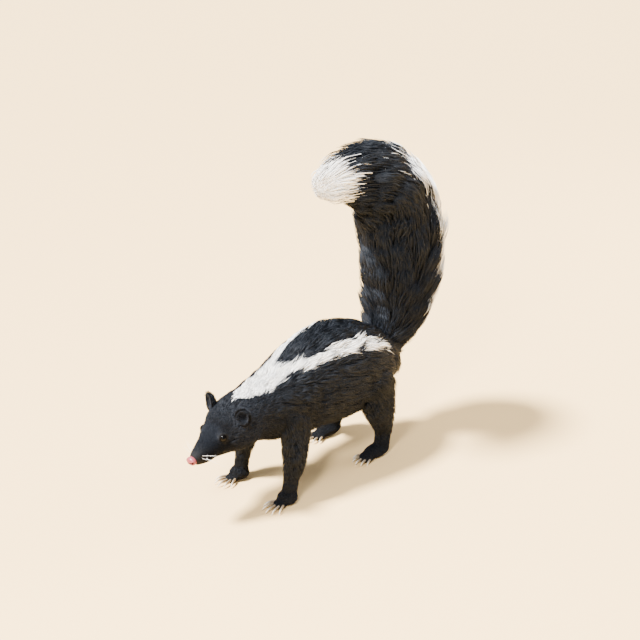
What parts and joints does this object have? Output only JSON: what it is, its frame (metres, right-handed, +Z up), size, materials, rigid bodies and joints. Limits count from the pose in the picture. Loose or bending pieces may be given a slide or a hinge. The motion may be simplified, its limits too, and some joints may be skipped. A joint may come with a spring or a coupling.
{
  "type": "striped skunk",
  "caption": "Life-size standing striped skunk with its head lowered, its plumed tail raised and hooked forwards, and white stripes along its back.",
  "frame": {"origin": "on the floor, under the middle of the box round the whole animal", "axes": "+Z up, nose towards -Y, the animal's left side towards +X"},
  "size_m": [0.127, 0.4424, 0.4188],
  "materials": {
    "black_fur": "dense black guard hair with a soft brown-black sheen",
    "white_fur": "long coarse white hair, faintly cream at the roots",
    "ear_fur": "short velvety black fur over thin skin",
    "nose_skin": "bare moist pink skin with a fine pebbled grain",
    "eye_gloss": "wet glossy near-black eye",
    "claw_horn": "semi-polished pale horn, darker at the root"
  },
  "bodies": {
    "root": {"head": "black_fur", "nose_pad": "nose_skin", "eye_left": "eye_gloss", "eye_right": "eye_gloss", "ear_left": "ear_fur", "ear_right": "ear_fur", "neck": "black_fur", "torso": "black_fur", "foreleg_left": "black_fur", "foreleg_right": "black_fur", "forepaw_left": "black_fur", "forepaw_right": "black_fur", "foreclaw_left_1": "claw_horn", "foreclaw_right_1": "claw_horn", "foreclaw_left_2": "claw_horn", "foreclaw_right_2": "claw_horn", "foreclaw_left_3": "claw_horn", "foreclaw_right_3": "claw_horn", "foreclaw_left_4": "claw_horn", "foreclaw_right_4": "claw_horn", "foreclaw_left_5": "claw_horn", "foreclaw_right_5": "claw_horn", "hindleg_left": "black_fur", "hindleg_right": "black_fur", "hindpaw_left": "black_fur", "hindpaw_right": "black_fur", "hindclaw_left_1": "claw_horn", "hindclaw_right_1": "claw_horn", "hindclaw_left_2": "claw_horn", "hindclaw_right_2": "claw_horn", "hindclaw_left_3": "claw_horn", "hindclaw_right_3": "claw_horn", "hindclaw_left_4": "claw_horn", "hindclaw_right_4": "claw_horn", "hindclaw_left_5": "claw_horn", "hindclaw_right_5": "claw_horn", "tail_root": "black_fur", "tail_middle": "black_fur", "tail_bend": "black_fur", "tail_tip": "white_fur"}
  },
  "joints": []
}
